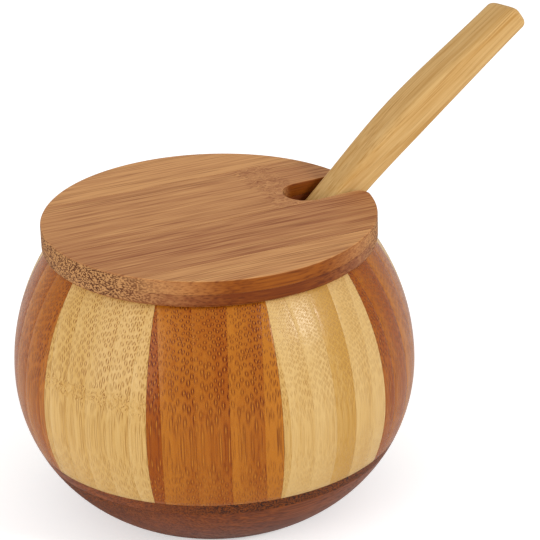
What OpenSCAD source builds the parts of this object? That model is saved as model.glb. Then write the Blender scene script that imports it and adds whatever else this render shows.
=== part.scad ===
// Staved bamboo salt pot, with a lid that lifts off and a spoon that leans out through the lid's notch.
// Millimetres. The origin is the middle of the foot, +Z is up, and +X points out through the notch.

/* [Bowl outside] */
// Diameter at the belly, the widest place
belly_d = 110; // [104:0.5:118]
// Height of the belly above the table
belly_h = 39; // [36:0.5:43]
// Diameter at the rim
rim_d = 86.8; // [85:0.1:92]
// Height of the rim above the table
rim_h = 74.6; // [71:0.1:80]
// Diameter of the flat foot
foot_d = 64; // [58:0.5:70]
// Height of the base, up to the foot of the staves
base_h = 20.7; // [18:0.1:24]
// Thickness of the base's upper and lower plies
base_ply_t = 3.5; // [2.5:0.1:4.5]

/* [Bowl inside] */
// Wall at the belly
wall = 6.5; // [5.5:0.1:8]
// Thickness of the floor
floor_t = 11; // [8:0.1:13]
// Diameter of the flat part of the floor
floor_d = 68; // [60:0.5:74]
// Width of the flat ring on the rim that the lid sits on
rim_flat = 2; // [1.5:0.1:2.8]
// Bevel between the rim and the mouth
rim_bevel = 2.5; // [1.5:0.1:3]
// Height of the straight mouth under the bevel
mouth_h = 4.5; // [3:0.1:6]

/* [Staves] */
// Angle from the notch to the first joint between staves, in degrees
first_joint = 8.9; // [0:0.1:35]
// Width of the strips that the dark staves are glued up from
dark_strip_w = 8.87; // [8:0.01:10]
// Width of the strips that the light staves are glued up from
light_strip_w = 6.7; // [6:0.05:8]
// Thickness of every glue line
glue = 0.05; // [0.03:0.01:0.1]

/* [Lid] */
// Diameter of the lid
lid_d = 90.8; // [88.5:0.1:96]
// Thickness of the lid's upper ply
upper_ply_t = 3.7; // [3:0.1:5]
// Thickness of the lid's lower ply
lower_ply_t = 3.7; // [3:0.1:5]
// Bevel of the lid's upper edge
upper_bevel = 0.5; // [0.3:0.1:1.2]
// Rounding of the lid's lower edge
lower_round = 1.2; // [0.6:0.1:1.8]
// Turn of the lid's grain from the line of the notch, in degrees
grain_turn = -3.4; // [-6:0.1:6]
// Place of the joint between the front strip and the next, across the grain
front_joint = -30.5; // [-36:0.1:-24]
// Place of the joint beside the notch, across the grain
middle_joint = -5.9; // [-6.5:0.1:-5.6]
// Place of the joint between the back strip and the next, across the grain
back_joint = 25.2; // [20:0.1:32]
// Depth of the plug under the lid
plug_t = 5; // [3.5:0.1:6.5]
// Gap between the plug and the mouth, all round
plug_gap = 0.5; // [0.3:0.05:0.8]
// Bevel of the plug's lower edge
plug_bevel = 0.8; // [0.4:0.1:1.2]

/* [Notch] */
// Width of the notch
notch_w = 13.4; // [13:0.1:15]
// Distance from the lid's middle to the notch's round end
notch_in = 23.6; // [22.5:0.1:26]
// Rounding of the two corners where the notch opens at the lid's edge
notch_round = 3; // [1.5:0.1:4]
// How much further the notch runs into the plug, to clear the slanting handle
plug_notch_more = 7; // [5.5:0.1:8.5]
// How much wider the plug's notch is, on each side
plug_notch_side = 1.5; // [0.5:0.1:2.5]

/* [Spoon] */
// Length along the spoon's centre line
spoon_l = 158.5; // [150:0.5:168]
// Lean of the handle's upper half, from level, in degrees
handle_lean = 35; // [31:0.1:38]
// Lean of the handle where it crosses the rim
rim_lean = 41.6; // [40:0.1:44]
// Lean of the spoon's head
head_lean = 54; // [50:0.1:58]
// Length over which the handle bends outside the rim
outer_bend_l = 50; // [38:1:60]
// Length over which it bends inside the rim
inner_bend_l = 40; // [30:1:44]
// Width of the handle at the rim
neck_w = 11; // [9:0.1:11.4]
// Thickness of the handle at the rim
neck_t = 8.2; // [7:0.1:8.5]
// Width of the handle at its widest
grip_w = 12.4; // [11:0.1:13.5]
// Thickness of the handle at its thickest
grip_t = 9.2; // [8:0.1:10]
// Distance from the rim to that place
grip_at = 32; // [24:1:40]
// Width of the handle at its end
end_w = 12.2; // [10:0.1:13.5]
// Thickness of the handle at its end
end_t = 7.3; // [6:0.1:8.5]
// Slant of the handle's end, in degrees
end_slant = 7; // [0:1:20]
// Rounding of the edges of the handle's end
end_round = 2; // [1:0.1:2.4]
// Length of the head
head_l = 38; // [35:0.5:42]
// Width of the head
head_w = 22; // [19:0.5:25]
// Height of the head's upper edge above the centre line
head_up = 2.6; // [2:0.1:3.5]
// Depth of the head under the centre line
head_down = 5.4; // [4.5:0.1:6.5]
// Depth of the head's dish
dish_h = 4.8; // [3:0.1:5.2]
// Width of the edge around the dish
lip_w = 1.7; // [1.2:0.1:2.5]
// Thickness of the head's edge
lip_t = 1.6; // [1.2:0.1:2.2]
// Clearance between the spoon and what it rests on
rest_gap = 0.4; // [0.3:0.05:0.6]

/* [Hidden] */
$fn = 144;
stave_count = 10;
// How far the joint at the start of each stave strays from even spacing, in degrees
joint_drift = [0, 0, 0, 0, 0, -1, -0.8, 0.8, 1.1, 0];
// Where the first strip joint of each stave lies, across the stave from its middle
strip_start = [-12, -13.5, -10.5, -15, -12.5, -14.5, -13.7, -15.1, -11.4, -14];
// A strip narrower than this at the edge of a stave isn't cut off
least_strip = 1.5;

belly_r = belly_d / 2;
rim_r = rim_d / 2;
foot_r = foot_d / 2;
floor_r = floor_d / 2;
well_r = belly_r - wall;
seat_r = rim_r - rim_flat;
mouth_r = seat_r - rim_bevel;
bevel_z = rim_h - rim_bevel;
mouth_z = bevel_z - mouth_h;

lid_r = lid_d / 2;
lid_t = upper_ply_t + lower_ply_t;
plug_r = mouth_r - plug_gap;
plug_z = rim_h - plug_t;
cut = 1; // how far a cutting shape runs past the face it cuts

// The spoon's rings: how many points go round, and how far apart the plain ones lie
ring_points = 32;
ring_step = 3;
head_rings = 16;
end_rings = 4;
handle_square = 5; // squareness of the handle's section, where 2 is an ellipse
head_square = 2.3; // squareness of the head's underside
wide_at = 0.42; // share of the head's length, from the tip, where it is widest
deep_at = 0.5; // share of the head's length where its underside is lowest
dish_mid = 0.44; // middle of the dish, as a share of the head's length
dish_half = 0.4; // half the dish's length, as a share of the head's length
slant_l = 14; // length over which the end's slant fades out
bend_steps = 40; // steps in which the bend inside the rim is measured
tip_open = 0.2; // size of the first ring, as a share of a step between the tip's rings
dish_edge = 8; // how sharply the dish starts inside the head's edge

light_bamboo = "#dcb56e";
dark_bamboo = "#b4703a";
base_bamboo = "#84492e";
lid_bamboo = "#b5825a";
spoon_bamboo = "#cda35f";

function stave_name(i) = str("stave_", i < 10 ? "0" : "", i);
function smooth(u) = let (v = min(1, max(0, u))) v * v * (3 - 2 * v);
function mix(a, b, u) = a + (b - a) * u;
function power(a, n) = sign(a) * pow(abs(a), n);
function sum(v) = v * [for (x = v) 1];

// ---- Turned forms ----

// Radius of the arc that stands upright at one point and passes through another, dr in and dz away
function arc_r(dr, dz) = (dr * dr + dz * dz) / (2 * dr);

// Half section from the axis out to an arc, upright at (r_side, z_side), that ends at (r_end, z_end)
module arc_fill(r_side, z_side, r_end, z_end) {
    r = arc_r(r_side - r_end, z_end - z_side);
    translate([0, min(z_side, z_end)]) square([r_end, abs(z_end - z_side)]);
    intersection() {
        translate([r_side - r, z_side]) circle(r);
        translate([0, min(z_side, z_end)]) square([r_side, abs(z_end - z_side)]);
    }
}

// The bowl's outside, turned to two arcs that meet at the belly
module outside_fill() {
    arc_fill(belly_r, belly_h, foot_r, 0);
    arc_fill(belly_r, belly_h, rim_r, rim_h);
}

// The bowl's inside: two arcs, the straight mouth and the bevel up to the rim
module inside_fill() {
    arc_fill(well_r, belly_h, floor_r, floor_t);
    arc_fill(well_r, belly_h, mouth_r, mouth_z);
    translate([0, mouth_z]) square([mouth_r, mouth_h]);
    polygon([
        [0, bevel_z], [mouth_r, bevel_z], [seat_r, rim_h], [seat_r, rim_h + cut], [0, rim_h + cut]
    ]);
}

// The bowl's wall and floor between two heights
module bowl_turning(low, high) {
    rotate_extrude() intersection() {
        difference() {
            outside_fill();
            inside_fill();
        }
        translate([0, low]) square([belly_r + cut, high - low]);
    }
}

// ---- Staves ----

function joint_angle(i) =
    first_joint + 360 / stave_count * (i - 1) + joint_drift[(i - 1) % stave_count];

// Room for one stave between two flat sides that lean apart by angle, half a glue line short of each
module stave_wedge(angle) {
    half = angle / 2;
    edge = glue / 2 / sin(half);
    reach = 2 * belly_r;
    linear_extrude(rim_h + cut) polygon([
        [edge, 0], [reach, (reach - edge) * tan(half)], [reach, -(reach - edge) * tan(half)]
    ]);
}

// One stave, turned with the bowl. Its blank is glued up from strips that stand side by side.
module stave(i) {
    start = joint_angle(i);
    angle = joint_angle(i + 1) - start;
    strip_w = i % 2 == 1 ? dark_strip_w : light_strip_w;
    half_w = belly_r * sin(angle / 2);
    joints = [for (y = strip_start[i - 1]; y < half_w - least_strip; y = y + strip_w) y];
    sides = concat([-belly_r], joints, [belly_r]);
    color(i % 2 == 1 ? dark_bamboo : light_bamboo) rotate(start + angle / 2)
        for (k = [0:len(sides) - 2]) intersection() {
            bowl_turning(base_h, rim_h);
            stave_wedge(angle);
            translate([0, sides[k] + glue / 2, 0])
                cube([2 * belly_r, sides[k + 1] - sides[k] - glue, rim_h + cut]);
        }
}

// ---- Base ----

module base_upper_ply() color(base_bamboo) bowl_turning(base_h - base_ply_t, base_h - glue);
module base_core() color(base_bamboo) bowl_turning(base_ply_t, base_h - base_ply_t - glue);
module base_lower_ply() color(base_bamboo) bowl_turning(0, base_ply_t - glue);

// ---- Lid ----

// The notch seen from above: a round end, straight sides, and corners rounded where it meets the edge
module notch_plan(inner_end, half) {
    corner_y = half + notch_round;
    corner_x = sqrt(pow(lid_r - notch_round, 2) - corner_y * corner_y);
    past = (lid_r + cut) / (lid_r - notch_round);
    translate([inner_end + half, 0]) circle(half);
    translate([inner_end + half, -half]) square([lid_r, 2 * half]);
    for (side = [-1, 1]) difference() {
        polygon([
            [corner_x, side * (half - cut)], [corner_x, side * corner_y],
            [corner_x * past, side * corner_y * past], [lid_r + 2 * cut, side * (half - cut)]
        ]);
        translate([corner_x, side * corner_y]) circle(notch_round);
    }
}

// Half section of the lid, from its underside up
module lid_fill() {
    square([lid_r - lower_round, lid_t / 2]);
    translate([lid_r - lower_round, lower_round]) circle(lower_round);
    polygon([
        [0, lower_round], [lid_r, lower_round], [lid_r, lid_t - upper_bevel],
        [lid_r - upper_bevel, lid_t], [0, lid_t]
    ]);
}

// The lid between two heights above its underside, with its notch
module lid_turning(low, high) {
    translate([0, 0, rim_h]) difference() {
        rotate_extrude() intersection() {
            lid_fill();
            translate([0, low]) square([lid_r + cut, high - low]);
        }
        translate([0, 0, -cut]) linear_extrude(lid_t + 2 * cut)
            notch_plan(notch_in, notch_w / 2);
    }
}

// One strip of the lid's upper ply, between two joints that run with the grain
module lid_strip(from, to) {
    color(lid_bamboo) intersection() {
        lid_turning(lower_ply_t, lid_t);
        rotate(grain_turn) translate([-2 * lid_r, from + glue / 2, rim_h])
            cube([4 * lid_r, to - from - glue, lid_t + cut]);
    }
}

module lid_lower_ply() color(lid_bamboo) lid_turning(0, lower_ply_t - glue);

// The plug that keeps the lid from sliding off the mouth
module lid_plug() {
    color(lid_bamboo) difference() {
        translate([0, 0, plug_z]) rotate_extrude() polygon([
            [0, 0], [plug_r - plug_bevel, 0], [plug_r, plug_bevel], [plug_r, plug_t - glue],
            [0, plug_t - glue]
        ]);
        translate([0, 0, plug_z - cut]) linear_extrude(plug_t + 2 * cut)
            notch_plan(notch_in - plug_notch_more, notch_w / 2 + plug_notch_side);
    }
}

// ---- Spoon ----
// Its centre line lies in the plane y = 0. Distances along it are counted from the tip of the head.

// Lean of the centre line at a distance out from the rim. Inside the rim the distance is negative.
function lean(out) = out > 0
    ? mix(rim_lean, handle_lean, smooth(out / outer_bend_l))
    : mix(rim_lean, head_lean, smooth(-out / inner_bend_l));

function handle_w(out) = out < grip_at
    ? mix(neck_w, grip_w, smooth(out / grip_at))
    : mix(grip_w, end_w, smooth((out - grip_at) / (handle_l - grip_at)));
function handle_t(out) = out < grip_at
    ? mix(neck_t, grip_t, smooth(out / grip_at))
    : mix(grip_t, end_t, smooth((out - grip_at) / (handle_l - grip_at)));

// The head's section at a distance from the tip: half width, height above and depth under the centre line
function neck(s) = smooth((s / head_l - deep_at) / (1 - deep_at));
function half_w(s) = s < wide_at * head_l
    ? head_w / 2 * sqrt(1 - pow(1 - s / (wide_at * head_l), 2))
    : s < head_l
        ? mix(head_w / 2, neck_w / 2, smooth((s / head_l - wide_at) / (1 - wide_at)))
        : handle_w(s - inner_l) / 2;
function above(s) = s < head_l ? mix(head_up, neck_t / 2, neck(s)) : handle_t(s - inner_l) / 2;
function below(s) = s < deep_at * head_l
    ? mix(lip_t - head_up, head_down, sqrt(1 - pow(1 - s / (deep_at * head_l), 2)))
    : s < head_l ? mix(head_down, neck_t / 2, neck(s)) : handle_t(s - inner_l) / 2;
// Height of the section's widest place, which is near the edge on the head and half way on the handle
function waist(s) = mix(above(s) - lip_t / 2, (above(s) - below(s)) / 2, neck(s));
function dish(s, y) = dish_h
    * max(0, 1 - pow((s / head_l - dish_mid) / dish_half, 2))
    * max(0, 1 - pow(y / max(lip_w, half_w(s) - lip_w), 2));

// The handle's underside lies rest_gap above the inner edge of the rim's flat
rim_point = [seat_r, rim_h] + (neck_t / 2 + rest_gap) * [-sin(rim_lean), cos(rim_lean)];
// How far the head's underside reaches under its tip
dip = max([for (s = [0:0.25:deep_at * head_l]) below(s) * cos(head_lean) - s * sin(head_lean)]);
tip_z = floor_t + rest_gap + dip;
bend_leans = [for (k = [0.5:bend_steps]) lean(-inner_bend_l * k / bend_steps)];
bend_drop = sum([for (a = bend_leans) sin(a)]) * inner_bend_l / bend_steps;
bend_run = sum([for (a = bend_leans) cos(a)]) * inner_bend_l / bend_steps;
// Length from the rim in to the tip, and out to the handle's end
inner_l = inner_bend_l + (rim_point.y - tip_z - bend_drop) / sin(head_lean);
handle_l = spoon_l - inner_l;

// Where the rings stand, from the tip, closer together on the head's round tip and the handle's end
plain_l = spoon_l - end_round - wide_at * head_l;
plain_count = ceil(plain_l / ring_step);
stations = concat(
    [for (k = [0:head_rings - 1]) wide_at * head_l * (1 - cos(90 * max(k, tip_open) / head_rings))],
    [for (k = [0:plain_count - 1]) wide_at * head_l + plain_l * k / plain_count],
    [for (k = [0:end_rings]) spoon_l - end_round * (1 - sin(90 * k / end_rings))]
);

// The point of the centre line at each station, walked from the tip, where the line starts at [0, 0]
walked = [
    for (
        k = 0, p = [0, 0];
        k < len(stations);
        k = k + 1,
        step = k < len(stations) ? stations[k] - stations[k - 1] : 0,
        a = k < len(stations) ? lean((stations[k] + stations[k - 1]) / 2 - inner_l) : 0,
        p = p + step * [cos(a), sin(a)]
    ) p
];
tip = [rim_point.x - bend_run - (inner_l - inner_bend_l) * cos(head_lean), tip_z];

// One ring of the spoon's skin
function ring(k) =
    let (
        s = stations[k],
        a = lean(s - inner_l),
        p = tip + walked[k],
        inset = max(0, end_round - sqrt(max(0, pow(end_round, 2) - pow(max(0, s - spoon_l + end_round), 2)))),
        w = half_w(s) - inset,
        up = above(s) - inset,
        down = below(s) - inset,
        mid = waist(s),
        square_up = handle_square,
        square_down = mix(head_square, handle_square, neck(s)),
        slant = tan(end_slant) * smooth((s - spoon_l + slant_l) / slant_l)
    )
    [for (j = [0:ring_points - 1])
        let (
            c = cos(360 * j / ring_points),
            d = sin(360 * j / ring_points),
            y = w * power(c, 2 / (d < 0 ? square_down : square_up)),
            h = d < 0
                ? mid - (mid + down) * pow(-d, 2 / square_down)
                : mid + (up - mid) * pow(d, 2 / square_up) - dish(s, y) * smooth(dish_edge * d),
            out = -slant * y
        )
        [p.x + out * cos(a) - h * sin(a), y, p.y + out * sin(a) + h * cos(a)]
    ];

module spoon() {
    n = ring_points;
    last = len(stations) - 1;
    points = [for (k = [0:last]) each ring(k)];
    sides = [for (k = [0:last - 1]) for (j = [0:n - 1])
        let (a = k * n + j, b = k * n + (j + 1) % n)
        each [[a, a + n, b], [b, a + n, b + n]]
    ];
    caps = [[for (j = [0:n - 1]) j], [for (j = [n - 1:-1:0]) last * n + j]];
    color(spoon_bamboo) polyhedron(points, concat(sides, caps));
}

for (i = [1:stave_count]) stave(i);
base_upper_ply();
base_core();
base_lower_ply();
lid_strip(-lid_r - cut, front_joint);  // lid_strip_front
lid_strip(front_joint, middle_joint);  // lid_strip_mid_front
lid_strip(middle_joint, back_joint);  // lid_strip_mid_back
lid_strip(back_joint, lid_r + cut);  // lid_strip_back
lid_lower_ply();
lid_plug();
spoon();
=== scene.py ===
"""Staved bamboo salt pot with a lift-off lid and a spoon, dressed in bamboo on a white studio floor."""

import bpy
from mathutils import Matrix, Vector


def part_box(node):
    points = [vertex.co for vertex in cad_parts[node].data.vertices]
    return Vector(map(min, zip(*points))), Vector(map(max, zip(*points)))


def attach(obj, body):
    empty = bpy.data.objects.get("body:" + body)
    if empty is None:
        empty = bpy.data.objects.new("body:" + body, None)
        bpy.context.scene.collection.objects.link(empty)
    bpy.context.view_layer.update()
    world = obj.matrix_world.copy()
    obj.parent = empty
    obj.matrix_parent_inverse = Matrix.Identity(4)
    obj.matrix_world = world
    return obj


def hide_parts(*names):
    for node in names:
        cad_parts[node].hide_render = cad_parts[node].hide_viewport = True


bl_info = {
    "name": "Bamboo Salt Pot",
    "version": (1, 0, 0),
    "blender": (4, 5, 0),
    "location": "3D View > Sidebar > Salt Pot",
    "description": "Builds the pot's staves, base, lid and spoon, their bamboo, and a small white studio",
    "category": "Add Mesh",
}

from math import atan2, cos, hypot, pi, radians, sin, sqrt, tan

import bmesh
import bpy
import numpy as np
from bpy.props import FloatProperty, FloatVectorProperty, PointerProperty
from bpy.types import Operator, Panel, PropertyGroup
from mathutils import Matrix, Vector

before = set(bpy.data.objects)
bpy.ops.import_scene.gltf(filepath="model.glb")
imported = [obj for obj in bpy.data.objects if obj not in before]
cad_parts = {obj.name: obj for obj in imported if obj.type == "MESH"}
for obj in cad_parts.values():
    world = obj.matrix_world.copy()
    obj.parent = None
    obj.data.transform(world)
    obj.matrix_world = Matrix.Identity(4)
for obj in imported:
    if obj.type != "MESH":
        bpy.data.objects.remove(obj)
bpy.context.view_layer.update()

MM = 0.001
STAVES = sorted(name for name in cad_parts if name.startswith("stave_"))
BASE_H, RIM_H = (corner.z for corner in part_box(STAVES[0]))
BASE_PLY_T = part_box("base_core")[0].z
LID_JOINT_H, LID_TOP = (corner.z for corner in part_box("lid_strip_back"))
PLUG_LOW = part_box("lid_plug")[0].z

# How far the joint at the start of each stave strays from even spacing, in degrees
JOINT_DRIFT = (0, 0, 0, 0, 0, -1, -0.8, 0.8, 1.1, 0)
# The first strip joint of each stave, in millimetres from the stave's middle
FIRST_JOINTS = (-12, -13.5, -10.5, -15, -12.5, -14.5, -13.7, -15.1, -11.4, -14)
LEAST_STRIP = 1.5 * MM  # a strip narrower than this at the edge of a stave isn't cut off
# How deep the colour of each stave's strips is, from its left: 0 is the pale tone and 1 the deep one
STRIP_TONES = (
    (0.5, 0.3, 0.6, 0.4),
    (0.4, 0.5, 0.3, 0.5, 0.4),
    (0.6, 0.4, 0.5, 0.7),
    (0.3, 0.4, 0.6, 0.4, 0.5),
    (0.5, 0.6, 0.4, 0.5),
    (0.45, 0.4, 0.45, 0.4, 0.4, 0.4),
    (0.75, 0.4, 0.65, 0.4, 0.1),
    (0.4, 0.2, 0.15, 0.95, 0.25, 0.15),
    (0.75, 0.8, 0.4, 0.45),
    (0.4, 0.5, 0.3, 0.5, 0.4),
)
# How far apart each stave's fibre bundles stand, in millimetres
SPACINGS = (1.1, 0.9, 1.2, 0.8, 1.2, 1.1, 1.15, 0.7, 1.1, 1.0)
# Height of the tangled fibres in each stave that has any, in millimetres
KNUCKLES = (0, 34, 0, 0, 0, 50, 0, 0, 0, 62)
# How far the tone deepens across each strip of the two kinds of stave, and how strongly the cores of the
# bundles, the streaks and the dark lines show
STAVE_KINDS = {
    "dark": {"deepening": 0.4, "cores": 0.9, "streaks": 0.7, "lines": 0.5},
    "light": {"deepening": 0.2, "cores": 0.3, "streaks": 0.4, "lines": 0.25},
}

MERGE = 0.0015 * MM  # points closer than this become one
SHARP_EDGE = 35  # edges sharper than this aren't shaded smooth, in degrees


def linear(code):
    """Scene-linear colour of a hex code: each channel goes through the sRGB curve."""
    channels = [int(code[i : i + 2], 16) / 255 for i in (0, 2, 4)]
    return tuple(c / 12.92 if c <= 0.04045 else ((c + 0.055) / 1.055) ** 2.4 for c in channels)


def length(text, millimetres):
    return FloatProperty(
        name=text, description=text, default=millimetres * MM, unit="LENGTH", precision=5
    )


def angle(text, degrees):
    return FloatProperty(name=text, description=text, default=radians(degrees), subtype="ANGLE")


def colour(text, code):
    return FloatVectorProperty(
        name=text, description=text, default=linear(code), min=0, max=1, size=3, subtype="COLOR"
    )


def point(text, metres):
    return FloatVectorProperty(
        name=text, description=text, default=metres, size=3, subtype="TRANSLATION", unit="LENGTH"
    )


def power(text, watts):
    return FloatProperty(name=text, description=text, default=watts, min=0, unit="POWER")


def level(text, value):
    return FloatProperty(name=text, description=text, default=value, min=0, max=1, subtype="FACTOR")


class BowlSizes(PropertyGroup):
    """The turned bowl: its outside, its inside and its joints."""

    belly_r: length("Radius at the belly", 55)
    belly_h: length("Height of the belly", 39)
    rim_r: length("Radius at the rim", 43.4)
    rim_h: length("Height of the rim", RIM_H / MM)
    foot_r: length("Radius of the foot", 32)
    base_h: length("Height of the base", BASE_H / MM)
    ply_t: length("Thickness of the base's outer plies", BASE_PLY_T / MM)
    wall: length("Wall at the belly", 6.5)
    floor_t: length("Thickness of the floor", 11)
    floor_r: length("Radius of the flat floor", 34)
    rim_flat: length("Width of the flat on the rim", 2)
    rim_bevel: length("Bevel inside the rim", 2.5)
    mouth_h: length("Height of the straight mouth", 4.5)
    glue: length("Thickness of the glue lines", 0.05)
    strip_glue: length("Thickness of the glue lines inside a stave", 0.012)
    groove: length("Depth of the groove along a glue line", 0.015)
    rim_edge: length("Rounding of the rim's edges", 0.3)
    first_joint: angle("Angle of the first stave joint", 8.9)
    dark_strip_w: length("Width of the dark staves' strips", 8.87)
    light_strip_w: length("Width of the light staves' strips", 6.7)


class LidSizes(PropertyGroup):
    """The lid: two plies, the joints of its strips, its notch and its plug."""

    radius: length("Radius of the lid", 45.4)
    top: length("Height of the lid's top", LID_TOP / MM)
    joint_h: length("Height of the joint between the plies", LID_JOINT_H / MM)
    upper_round: length("Rounding of the upper edge", 0.5)
    lower_round: length("Rounding of the lower edge", 1.2)
    grain_turn: angle("Turn of the grain", -3.4)
    front_joint: length("Place of the front strip's joint", -30.5)
    middle_joint: length("Place of the joint beside the notch", -5.9)
    back_joint: length("Place of the back strip's joint", 25.2)
    notch_w: length("Width of the notch", 13.4)
    notch_in: length("Distance from the middle to the notch's end", 23.6)
    notch_round: length("Rounding of the notch's corners", 3)
    plug_low: length("Height of the plug's underside", PLUG_LOW / MM)
    plug_gap: length("Gap round the plug", 0.5)
    plug_bevel: length("Bevel of the plug", 0.8)
    plug_notch_more: length("How much further the plug's notch runs", 7)
    plug_notch_side: length("How much wider the plug's notch is on each side", 1.5)


class SpoonSizes(PropertyGroup):
    """The spoon: a bending centre line and the sections along it."""

    total: length("Length along the centre line", 158.5)
    handle_lean: angle("Lean of the handle's upper half", 35)
    rim_lean: angle("Lean at the rim", 41.6)
    head_lean: angle("Lean of the head", 54)
    outer_bend: length("Length of the bend outside the rim", 50)
    inner_bend: length("Length of the bend inside the rim", 40)
    neck_w: length("Width at the rim", 11)
    neck_t: length("Thickness at the rim", 8.2)
    grip_w: length("Greatest width of the handle", 12.4)
    grip_t: length("Greatest thickness of the handle", 9.2)
    grip_at: length("Distance from the rim to that place", 32)
    end_w: length("Width of the end", 12.2)
    end_t: length("Thickness of the end", 7.3)
    end_slant: angle("Slant of the end", 7)
    end_round: length("Rounding of the end's edges", 2)
    head_l: length("Length of the head", 38)
    head_w: length("Width of the head", 22)
    head_up: length("Height of the head's edge", 2.6)
    head_down: length("Depth of the head", 5.4)
    dish_h: length("Depth of the dish", 4.8)
    lip_w: length("Width of the edge round the dish", 1.7)
    lip_t: length("Thickness of the head's edge", 1.6)
    rest_gap: length("Clearance under the spoon", 0.4)


class BambooColours(PropertyGroup):
    """The pale tone, the deep tone and the fibre bundles' tone of each kind of bamboo."""

    light_pale: colour("Light staves, pale", "dab474")
    light_deep: colour("Light staves, deep", "c59548")
    light_bundle: colour("Light staves, bundles", "905a12")
    dark_pale: colour("Dark staves, pale", "b8701f")
    dark_deep: colour("Dark staves, deep", "974a09")
    dark_bundle: colour("Dark staves, bundles", "5c1a02")
    base_pale: colour("Base, pale", "924705")
    base_deep: colour("Base, deep", "602603")
    base_bundle: colour("Base, bundles", "2e0e01")
    lid_pale: colour("Lid, pale", "d69c62")
    lid_deep: colour("Lid, deep", "a0623a")
    lid_bundle: colour("Lid, bundles", "64361c")
    # Painted shade: this deeper colour is multiplied onto the lid's sides along the grain, to make them look
    # darker than the top, which catches sheen
    lid_edge: colour("Dye on the lid's sides, along the grain", "b88b36")
    spoon_pale: colour("Spoon, pale", "d8b073")
    spoon_deep: colour("Spoon, deep", "bc8b46")
    spoon_bundle: colour("Spoon, bundles", "8a5a1e")


class StudioSettings(PropertyGroup):
    """The camera, the white floor, the white room and the lamps."""

    camera_turn: angle("Camera's turn from the front", -27.743)
    camera_lift: angle("Camera's height above level", 23.5752)
    camera_roll: angle("Camera's roll", -1.762)
    camera_away: length("Camera's distance from its aim", 700.42)
    aim: point("Point the camera looks at", (0.017882, -0.000304, 0.061363))
    lens: FloatProperty(
        name="Lens", description="Focal length on a 36 mm sensor", default=169.71, unit="CAMERA"
    )
    floor_half: length("Half the floor's side", 3000)
    floor_grey: level("Floor's grey", 0.9)
    floor_glow: level("Floor's own light, for the camera alone", 0.45)
    room_light: level("Light of the white room", 0.62)
    lamp_aim: point("Point the lamps face", (0, 0, 0.05))
    key_place: point("Key lamp's place", (0.62, -0.98, 0.62))
    key_side: length("Key lamp's side", 260)
    key_power: power("Key lamp's power", 6.4)
    fill_place: point("Fill lamp's place", (-1.15, -0.2, 0.35))
    fill_side: length("Fill lamp's side", 900)
    fill_power: power("Fill lamp's power", 7)


# ---- Surfaces ----


def turned(points, turn):
    """Points turned about the Z axis: x cos - y sin, x sin + y cos."""
    x, y, z = np.moveaxis(points, -1, 0)
    return np.stack([x * cos(turn) - y * sin(turn), x * sin(turn) + y * cos(turn), z], -1)


def loft(rings, closed=False):
    """Skin over rings of points, with one face at each end. Closed, the last ring joins the first."""
    count, size = rings.shape[:2]
    k, j = np.meshgrid(np.arange(count if closed else count - 1), np.arange(size), indexing="ij")
    k_next, j_next = (k + 1) % count, (j + 1) % size
    quads = np.stack([k * size + j, k * size + j_next, k_next * size + j_next, k_next * size + j], -1)
    ends = [] if closed else [np.arange(size)[::-1], np.arange(size) + (count - 1) * size]
    return rings.reshape(-1, 3), quads.reshape(-1, 4), ends


def wall_skin(sections):
    """Skin over sections of a wall. Each goes up one side and down the other, so its points pair up, and
    the two ends are closed by rows of faces from side to side."""
    points, quads, _ = loft(sections)
    count, size = sections.shape[:2]
    row = np.arange(size // 2 - 1)
    end = np.stack([row, size - 1 - row, size - 2 - row, row + 1], -1)
    return points, np.concatenate([quads, end, end[:, ::-1] + (count - 1) * size]), []


def make_mesh(name, shells, sharp):
    """One mesh of closed shells, with double points merged and faces pointing outwards."""
    points, faces, start = [], [], 0
    for shell_points, quads, ends in shells:
        points.append(shell_points)
        faces += (quads + start).tolist() + [(end + start).tolist() for end in ends]
        start += len(shell_points)
    mesh = bpy.data.meshes.new(name)
    mesh.from_pydata(np.concatenate(points), [], faces)
    work = bmesh.new()
    work.from_mesh(mesh)
    bmesh.ops.remove_doubles(work, verts=work.verts, dist=MERGE)
    bmesh.ops.delete(work, geom=[e for e in work.edges if not e.link_faces], context="EDGES")
    bmesh.ops.delete(work, geom=[v for v in work.verts if not v.link_faces], context="VERTS")
    bmesh.ops.recalc_face_normals(work, faces=work.faces)
    work.to_mesh(mesh)
    work.free()
    mesh.shade_smooth()
    mesh.set_sharp_from_angle(angle=radians(sharp))
    return mesh


def add_piece(name, shells, material, body, node, sharp=SHARP_EDGE):
    """One object in the scene that rides on a body and stands for a CAD node."""
    piece = bpy.data.objects.new(name, make_mesh(name, shells, sharp))
    bpy.context.collection.objects.link(piece)
    piece.data.materials.append(material)
    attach(piece, body)
    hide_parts(node)
    return piece


# ---- Bowl ----

WALL_ROWS, STRIP_COLUMNS, TURNED_POINTS = 44, 7, 192  # up a wall, across a strip, round a turned piece
STRIP_BORDER = 0.008  # share of a strip's width over which its groove runs out

def arc_reach(side, end):
    """Radius (dr^2 + dz^2) / 2dr of the arc that is upright at side and passes through end."""
    dr, dz = side[0] - end[0], side[1] - end[1]
    return (dr * dr + dz * dz) / (2 * dr)


def arc_radius(side, end, z):
    """Distance of that arc from the axis at height z: side - reach + sqrt(reach^2 - dz^2)."""
    reach = arc_reach(side, end)
    return side[0] - reach + np.sqrt(reach * reach - (z - side[1]) ** 2)


def arc_height(side, end, radius):
    """How far above or under side that arc is at a radius: sqrt(reach^2 - (radius - side + reach)^2)."""
    reach = arc_reach(side, end)
    return sqrt(reach * reach - (radius - side[0] + reach) ** 2)


def outer_radius(bowl, z):
    """The bowl's outside: two arcs that meet, upright, at the belly."""
    side = (bowl.belly_r, bowl.belly_h)
    low = arc_radius(side, (bowl.foot_r, 0), np.minimum(z, bowl.belly_h))
    high = arc_radius(side, (bowl.rim_r, bowl.rim_h), np.maximum(z, bowl.belly_h))
    return np.where(z < bowl.belly_h, low, high)


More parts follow.
